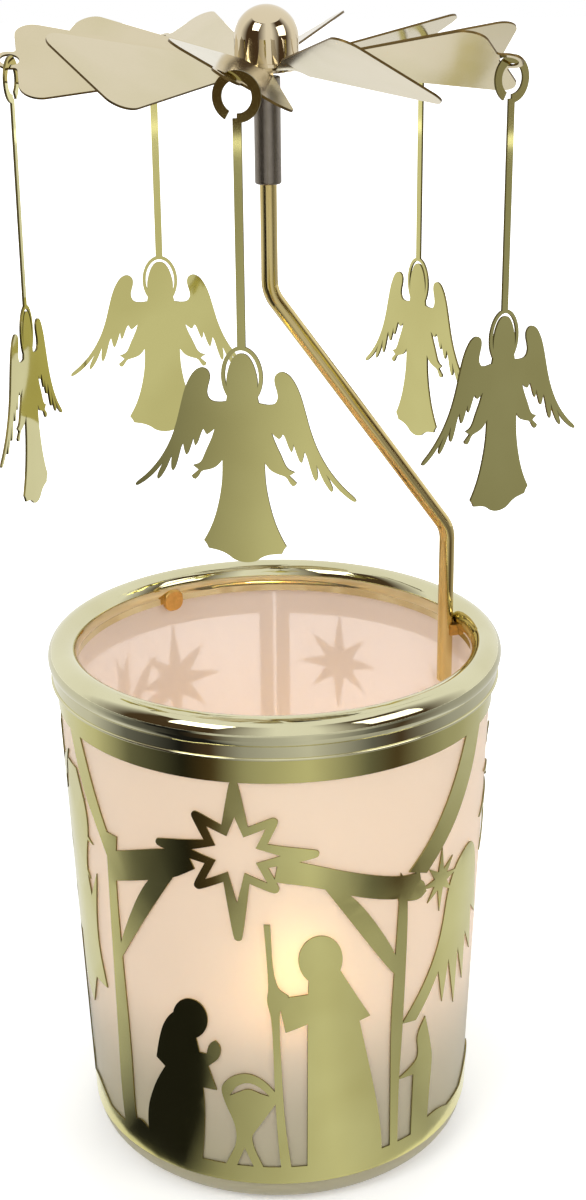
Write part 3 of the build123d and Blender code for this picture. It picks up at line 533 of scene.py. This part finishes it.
def rolled_hem(collar, material):
    """Thin hem rolled round the lower edge of the collar's skirt, which catches the light."""
    points = [vertex.co for vertex in collar.data.vertices]
    lowest = min(point.z for point in points)
    reach = max(point.xy.length for point in points if point.z < lowest + HEM_RADIUS)
    mesh = bmesh.new()
    profile = bmesh.ops.create_circle(
        mesh,
        segments=HEM_SIDES,
        radius=HEM_RADIUS,
        matrix=Matrix.Translation((reach, 0, lowest + HEM_RADIUS)) @ Matrix.Rotation(math.pi / 2, 4, "X"),
    )
    edges = {edge for vertex in profile["verts"] for edge in vertex.link_edges}
    bmesh.ops.spin(
        mesh,
        geom=[*profile["verts"], *edges],
        axis=(0, 0, 1),
        cent=(0, 0, 0),
        angle=2 * math.pi,
        steps=HEM_STEPS,
        use_merge=True,
    )
    hem = add_piece("collar_hem", mesh, material)
    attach(hem, "stand")


class CHIME_OT_wrap(bpy.types.Operator):
    """Finish the etched wrap and the pressed collar, and roll the collar's hem"""

    bl_idname = "chime.wrap"
    bl_label = "Wrap and collar"

    def execute(self, context):
        gold = context.scene.chime_gold
        # Rolled sheet keeps a slight matt bloom, so what it mirrors is soft
        # The dark colour of its etched edges is a painted reflection
        give(
            plated_sheet(
                "Gold-plated etched steel wrap", gold.wrap, "#D0C983", "#8E8450", 0.14, 16, 0.1, "radial"
            ),
            "nativity_wrap",
        )
        # Pressed and buffed, so it mirrors the room in crisp bands
        collar_plate = plated_sheet(
            "Gold-plated pressed steel collar", gold.collar, "#D3CEA8", "#8E8450", 0.06, 30, 0.02
        )
        give(collar_plate, "rim_collar")
        rolled_hem(nodes["rim_collar"], collar_plate)
        # Redder than the plating, with a puddled skin that breaks up the light
        give(
            plain_finish("Brass braze, puddled", "#DDB066", 1.0, 0.3, 0.7, 0.3),
            "collar_lug",
            "rod_braze",
        )
        return {"FINISHED"}


class CHIME_OT_rod(bpy.types.Operator):
    """Finish the bent rod, its sleeve and its needle"""

    bl_idname = "chime.rod"
    bl_label = "Rod and pivot"

    def execute(self, context):
        # Drawn wire is smooth, so it shows long fine stripes of the room
        give(
            plated_sheet(
                "Gold-plated drawn steel rod",
                context.scene.chime_gold.rod,
                "#D2BC7C",
                "#8E8450",
                0.1,
                20,
                0.01,
            ),
            "support_rod",
        )
        # Smoky dark metal with one soft highlight down its side
        give(
            plain_finish("Black nickel sleeve, polished", "#857D72", 0.9, 0.2, 0.8, 0.01),
            "rod_sleeve",
        )
        # Plain grey, with a highlight blurred by the fine grain of grinding
        give(plain_finish("Hardened ground steel", "#B9B9B8", 1.0, 0.25, 0.3, 0.004), "pivot_needle")
        return {"FINISHED"}


class CHIME_OT_propeller(bpy.types.Operator):
    """Finish the propeller, its cap and the bearing"""

    bl_idname = "chime.propeller"
    bl_label = "Propeller"

    def execute(self, context):
        gold = context.scene.chime_gold
        # Flat rolled blades, so each shows one broad pale tone, with a thin dark edge that is a painted
        # reflection
        give(
            plated_sheet(
                "Gold-plated etched steel blades",
                gold.blades,
                "#D0C5A0",
                "#6E5A33",
                0.16,
                25,
                0.05,
                (0, 0, 1),
            ),
            "propeller",
        )
        # Polished after pressing, so the dome mirrors the whole room in small
        give(
            plated_sheet(
                "Gold-plated polished steel cap", gold.cap, "#D1C1A0", "#8E8450", 0.04, 30, 0.01
            ),
            "spinner_cap",
            "hub_washer",
        )
        # Yellow brass with the fine unevenness of turning
        give(plain_finish("Turned brass bearing", "#C9A35A", 1.0, 0.3, 0.3, 0.004), "bearing_cup")
        return {"FINISHED"}


class CHIME_OT_angels(bpy.types.Operator):
    """Finish the five hanging angels"""

    bl_idname = "chime.angels"
    bl_label = "Angels"

    def execute(self, context):
        # Small flat mirrors: each angel takes the tone of what it happens to face
        for name in CHARMS:
            # The dark colour of each angel's etched edges is a painted reflection
            give(
                plated_sheet(
                    "Gold-plated etched steel " + name,
                    context.scene.chime_gold.angels,
                    "#D0C882",
                    "#6E6438",
                    0.05,
                    22,
                    0.03,
                    sheet_facing(nodes[name]),
                ),
                name,
            )
        return {"FINISHED"}


class CHIME_OT_tealight(bpy.types.Operator):
    """Finish the tealight"""

    bl_idname = "chime.tealight"
    bl_label = "Tealight"

    def execute(self, context):
        # Thin bright foil with shallow dents from drawing, so its shine is broken
        give(plain_finish("Drawn aluminium foil", "#D9D9DA", 1.0, 0.28, 3.0, 0.03), "tealight_cup")
        # Warm white that light sinks into, with a waxy half gloss
        give(
            plain_finish(
                "Poured paraffin wax",
                "#F6F0E2",
                0.0,
                0.42,
                4.0,
                0.05,
                Subsurface_Weight=0.3,
                Subsurface_Scale=0.004,
            ),
            "tealight_wax",
        )
        # Charred and matt, with the lumps of its braid
        give(plain_finish("Braided cotton wick", "#3B3128", 0.0, 0.9, 0.4, 0.1), "tealight_wick")
        # Silvery sheet, a little duller than the cup's foil
        give(plain_finish("Stamped tinned steel", "#C9C9C6", 1.0, 0.3, 1.0, 0.01), "wick_sustainer")
        return {"FINISHED"}


def flame_glow(sizes):
    """Glowing soot: amber where it leaves the wick, and a hotter, paler yellow above."""
    material, tree, shader = new_material("Candle flame, glowing soot")
    place = add_node(tree, "ShaderNodeTexCoord")
    split = add_node(tree, "ShaderNodeSeparateXYZ", {"Vector": place.outputs["Object"]})
    rise = add_node(
        tree,
        "ShaderNodeMapRange",
        {"Value": split.outputs["Z"]},
        From_Min=WICK_TOP - 3 * MM,
        From_Max=WICK_TOP + sizes.height * 0.8,
    )
    tones = add_node(tree, "ShaderNodeValToRGB", {"Fac": rise.outputs["Result"]})
    tones.color_ramp.elements[0].color = linear("#FFC65A")
    tones.color_ramp.elements[1].color = (*sizes.colour, 1)
    tree.links.new(tones.outputs["Color"], shader.inputs["Emission Color"])
    shader.inputs["Base Color"].default_value = linear("#FFE7A8")
    shader.inputs["Emission Strength"].default_value = sizes.strength
    return material


class CHIME_OT_flame(bpy.types.Operator):
    """Make the flame on the tealight's wick"""

    bl_idname = "chime.flame"
    bl_label = "Flame"

    def execute(self, context):
        sizes = context.scene.chime_flame
        mesh = bmesh.new()
        bmesh.ops.create_uvsphere(mesh, u_segments=32, v_segments=24, radius=1.0)
        for vertex in mesh.verts:
            up = (vertex.co.z + 1) / 2
            # The sine closes just short of the tip, so the flame ends in a point
            belly = math.sin(math.pi * min(1.0, up * 1.02)) ** FLAME_LOW_POWER * (1 - up) ** FLAME_TIP_POWER
            ring = math.hypot(vertex.co.x, vertex.co.y)
            turn = math.atan2(vertex.co.y, vertex.co.x)
            radius = sizes.width * FLAME_FULLNESS * belly * min(1.0, ring * FLAME_OPENING)
            vertex.co = (
                radius * math.cos(turn) + sizes.lean * up**FLAME_BEND_POWER,
                radius * math.sin(turn),
                FLAME_FOOT + up * sizes.height,
            )
        flame = add_piece("flame", mesh, flame_glow(sizes))
        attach(flame, "tealight")
        return {"FINISHED"}


# Tones of the painted reflection cards, which only polished metal sees
PAINTED_REFLECTION_TONES = {
    "white": "#FFFFFF",
    "pale": "#E0E0E0",
    "grey": "#B0B0B0",
    "slate": "#707070",
    "brown": "#504030",
    "dark": "#202020",
}

# Painted reflections of a plain studio: dark at the front left, brown at both sides, and white
# in front and behind. Each card is a band spun about the upright axis from its near edge to its
# far edge, as (radius, height) in metres. Its tones go round it by azimuth in degrees, 0
# towards the camera and positive to the right.
PAINTED_REFLECTION_CARDS = {
    "card_near": ((0.033, 0.0003), (0.1, 0.0003), (
        (-180, "white"), (-90, "pale"), (-60, "dark"), (-35, "dark"), (-20, "grey"), (20, "pale"),
        (60, "grey"), (90, "pale"), (180, "white"),
    )),
    "card_middle": ((0.1, 0.0003), (0.3, 0.0003), (
        (-180, "white"), (-100, "pale"), (-75, "slate"), (-45, "dark"), (-30, "brown"), (-15, "grey"),
        (15, "pale"), (45, "slate"), (60, "brown"), (90, "grey"), (180, "white"),
    )),
    "card_far": ((0.3, 0.0003), (1.3, 0.0003), (
        (-180, "white"), (-100, "pale"), (-60, "dark"), (-40, "dark"), (-30, "pale"), (30, "pale"),
        (60, "slate"), (90, "grey"), (180, "white"),
    )),
    "card_room": ((1.3, 0.01), (1.3, 1.9), (
        (-180, "white"), (-105, "white"), (-75, "brown"), (-30, "brown"), (0, "white"), (20, "white"),
        (45, "brown"), (75, "brown"), (105, "white"), (180, "white"),
    )),
}


def painted_reflection_card(name, near_edge, far_edge, tones):
    """Spins one band of the cards and gives it its tones, painted reflections that glow evenly by emission.
    """
    mesh = bmesh.new()
    ends = [mesh.verts.new((0.0, -radius, height)) for radius, height in (near_edge, far_edge)]
    edge = mesh.edges.new(ends)
    bmesh.ops.spin(
        mesh,
        geom=[*ends, edge],
        axis=(0, 0, 1),
        cent=(0, 0, 0),
        angle=2 * math.pi,
        steps=CARD_STEPS,
        use_merge=True,
    )
    data = bpy.data.meshes.new(name)
    mesh.to_mesh(data)
    mesh.free()
    card = bpy.data.objects.new(name, data)
    bpy.context.scene.collection.objects.link(card)
    # Painted reflections: the card glows with its tones by emission and is hidden from the camera, lighting,
    # transmission and shadows, so only glossy reflections show it
    material, tree, shader = new_material("Painted card, evenly lit, " + name)
    place = add_node(tree, "ShaderNodeTexCoord")
    split = add_node(tree, "ShaderNodeSeparateXYZ", {"Vector": place.outputs["Object"]})
    towards_camera = add_node(
        tree, "ShaderNodeMath", {0: split.outputs["Y"]}, {1: -1.0}, operation="MULTIPLY"
    )
    azimuth = add_node(
        tree,
        "ShaderNodeMath",
        {0: split.outputs["X"], 1: towards_camera.outputs["Value"]},
        operation="ARCTAN2",
    )
    share = add_node(
        tree,
        "ShaderNodeMapRange",
        {"Value": azimuth.outputs["Value"]},
        From_Min=-math.pi,
        From_Max=math.pi,
    )
    ramp = add_node(tree, "ShaderNodeValToRGB", {"Fac": share.outputs["Result"]})
    stops = ramp.color_ramp.elements
    for azimuth_degrees, tone in tones[1:-1]:
        stops.new((azimuth_degrees + 180) / 360).color = linear(PAINTED_REFLECTION_TONES[tone])
    stops[0].position, stops[0].color = 0.0, linear(PAINTED_REFLECTION_TONES[tones[0][1]])
    stops[-1].position, stops[-1].color = 1.0, linear(PAINTED_REFLECTION_TONES[tones[-1][1]])
    tree.links.new(ramp.outputs["Color"], shader.inputs["Emission Color"])
    shader.inputs["Emission Strength"].default_value = 1.0
    shader.inputs["Base Color"].default_value = (0, 0, 0, 1)
    shader.inputs["Specular IOR Level"].default_value = 0.0
    data.materials.append(material)
    card.visible_camera = False
    card.visible_diffuse = False
    card.visible_transmission = False
    card.visible_shadow = False


def watched(tree):
    """1 for camera, glossy and transmission rays, 0 for the rays that light the object."""
    path = add_node(tree, "ShaderNodeLightPath")
    seen = add_node(
        tree,
        "ShaderNodeMath",
        {0: path.outputs["Is Camera Ray"], 1: path.outputs["Is Glossy Ray"]},
        operation="MAXIMUM",
    )
    either = add_node(
        tree,
        "ShaderNodeMath",
        {0: seen.outputs["Value"], 1: path.outputs["Is Transmission Ray"]},
        operation="MAXIMUM",
    )
    return either.outputs["Value"]


def paper_floor(side):
    """White paper that keeps the object's soft shadow and burns out to white further away."""
    mesh = bmesh.new()
    bmesh.ops.create_grid(mesh, x_segments=1, y_segments=1, size=side / 2)
    data = bpy.data.meshes.new("floor")
    mesh.to_mesh(data)
    mesh.free()
    floor = bpy.data.objects.new("floor", data)
    floor.location.z = -0.2 * MM
    bpy.context.scene.collection.objects.link(floor)
    paper, tree, shader = new_material("Seamless white paper, calendered")
    place = add_node(tree, "ShaderNodeTexCoord")
    fibre = add_node(
        tree, "ShaderNodeTexNoise", {"Vector": place.outputs["Object"]}, Scale=per_mm(PAPER_FIBRE_MM)
    )
    bump = add_node(tree, "ShaderNodeBump", {"Height": fibre.outputs["Fac"]}, Distance=0.02 * MM)
    tree.links.new(bump.outputs["Normal"], shader.inputs["Normal"])
    distance = add_node(tree, "ShaderNodeVectorMath", {0: place.outputs["Object"]}, operation="LENGTH")
    away = add_node(
        tree,
        "ShaderNodeMapRange",
        {"Value": distance.outputs["Value"]},
        From_Min=0.03,
        From_Max=0.2,
        To_Min=0.26,
    )
    white = add_node(
        tree, "ShaderNodeMath", {0: away.outputs["Result"], 1: watched(tree)}, operation="MULTIPLY"
    )
    tree.links.new(white.outputs["Value"], shader.inputs["Emission Strength"])
    shader.inputs["Emission Color"].default_value = (1, 1, 1, 1)
    shader.inputs["Base Color"].default_value = linear("#F8F8F8")
    shader.inputs["Roughness"].default_value = 0.9
    data.materials.append(paper)


def studio_sky(level):
    """Even white light from all round, which is full white where it is seen."""
    world = bpy.data.worlds.new("Studio")
    bpy.context.scene.world = world
    world.use_nodes = True
    tree = world.node_tree
    tree.nodes.clear()
    strength = add_node(
        tree, "ShaderNodeMapRange", {"Value": watched(tree)}, To_Min=level, To_Max=1.0
    )
    sky = add_node(
        tree, "ShaderNodeBackground", {"Strength": strength.outputs["Result"]}, Color=(1, 1, 1, 1)
    )
    add_node(tree, "ShaderNodeOutputWorld", {"Surface": sky.outputs["Background"]})


# Softboxes: name, place in metres, side in metres, watts, and whether the gold mirrors it
SOFTBOXES = (
    ("key", (-0.5, -0.55, 0.75), 0.4, 2.6, True),
    ("fill", (0.6, -0.35, 0.45), 0.4, 1.4, True),
    ("back", (0.1, 0.7, 0.6), 0.5, 1.4, False),
)
LAMPS_AIM = Vector((0, 0, 0.09))


def softbox(name, place, side, watts, mirrored):
    """A square lamp aimed at the middle of the object."""
    lamp = bpy.data.lights.new(name, "AREA")
    lamp.size = side
    lamp.energy = watts
    obj = bpy.data.objects.new(name, lamp)
    obj.location = place
    obj.rotation_euler = (LAMPS_AIM - Vector(place)).to_track_quat("-Z", "Y").to_euler()
    obj.visible_glossy = mirrored
    bpy.context.scene.collection.objects.link(obj)


def candlelight():
    """The flame's light inside the glass, which moves with the tealight."""
    glow = bpy.data.lights.new("candlelight", "POINT")
    glow.color = linear("#FFE3BC")[:3]
    glow.energy = 0.007
    glow.shadow_soft_size = 4 * MM
    obj = bpy.data.objects.new("candlelight", glow)
    obj.location = (4 * MM, 0, WICK_TOP + 2 * MM)
    bpy.context.scene.collection.objects.link(obj)
    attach(obj, "tealight")


def photo_camera():
    """The camera that took the photograph, as its fitted place and turns give it."""
    camera_data = bpy.data.cameras.new("camera")
    camera_data.sensor_width = CAMERA_SENSOR
    camera_data.lens = CAMERA_LENS
    camera_data.clip_start = 10 * MM
    camera = bpy.data.objects.new("camera", camera_data)
    ahead = Vector(
        (
            math.sin(CAMERA_YAW) * math.cos(CAMERA_PITCH),
            math.cos(CAMERA_YAW) * math.cos(CAMERA_PITCH),
            -math.sin(CAMERA_PITCH),
        )
    )
    right = Vector((math.cos(CAMERA_YAW), -math.sin(CAMERA_YAW), 0))
    above = right.cross(ahead)
    turned_right = right * math.cos(CAMERA_ROLL) + above * math.sin(CAMERA_ROLL)
    turned_up = above * math.cos(CAMERA_ROLL) - right * math.sin(CAMERA_ROLL)
    turn = Matrix((turned_right, turned_up, -ahead)).transposed()
    camera.matrix_world = Matrix.Translation(CAMERA_PLACE) @ turn.to_4x4()
    bpy.context.scene.collection.objects.link(camera)
    bpy.context.scene.camera = camera


class CHIME_OT_stage(bpy.types.Operator):
    """Make the floor, the sky, the painted reflection cards, the lamps and the camera"""

    bl_idname = "chime.stage"
    bl_label = "Stage"

    def execute(self, context):
        context.scene.view_settings.view_transform = "Standard"
        paper_floor(context.scene.chime_stage.floor)
        studio_sky(context.scene.chime_stage.sky)
        for name, bands in PAINTED_REFLECTION_CARDS.items():
            painted_reflection_card(name, *bands)
        for settings in SOFTBOXES:
            softbox(*settings)
        candlelight()
        photo_camera()
        return {"FINISHED"}


class CHIME_PT_panel(bpy.types.Panel):
    """Lists the operators in the sidebar"""

    bl_label = "Angel chime carousel"
    bl_idname = "CHIME_PT_panel"
    bl_space_type = "VIEW_3D"
    bl_region_type = "UI"
    bl_category = "Chime"

    def draw(self, context):
        for operator in OPERATORS:
            self.layout.operator(operator.bl_idname)
        for group, names in SHOWN.items():
            for name in names:
                self.layout.prop(getattr(context.scene, group), name)


OPERATORS = (
    CHIME_OT_glass,
    CHIME_OT_wrap,
    CHIME_OT_rod,
    CHIME_OT_propeller,
    CHIME_OT_angels,
    CHIME_OT_tealight,
    CHIME_OT_flame,
    CHIME_OT_stage,
)
GROUPS = {
    "chime_flame": FlameSizes,
    "chime_glass": GlassLook,
    "chime_gold": GoldLook,
    "chime_stage": StageSizes,
}
CLASSES = (*GROUPS.values(), *OPERATORS, CHIME_PT_panel)

# What the panel shows of each group, below its buttons
SHOWN = {
    "chime_flame": ("height", "width", "lean", "colour", "strength"),
    "chime_glass": ("outer", "foot", "inner", "glow", "reach"),
    "chime_gold": ("wrap", "collar", "rod", "blades", "cap", "angels"),
    "chime_stage": ("floor", "sky"),
}


def register():
    for cls in CLASSES:
        bpy.utils.register_class(cls)
    for name, group in GROUPS.items():
        setattr(bpy.types.Scene, name, bpy.props.PointerProperty(type=group))


def unregister():
    for name in GROUPS:
        delattr(bpy.types.Scene, name)
    for cls in reversed(CLASSES):
        bpy.utils.unregister_class(cls)


def main():
    register()
    bpy.ops.chime.glass()
    bpy.ops.chime.wrap()
    bpy.ops.chime.rod()
    bpy.ops.chime.propeller()
    bpy.ops.chime.angels()
    bpy.ops.chime.tealight()
    bpy.ops.chime.flame()
    bpy.ops.chime.stage()


if __name__ == "__main__":
    main()
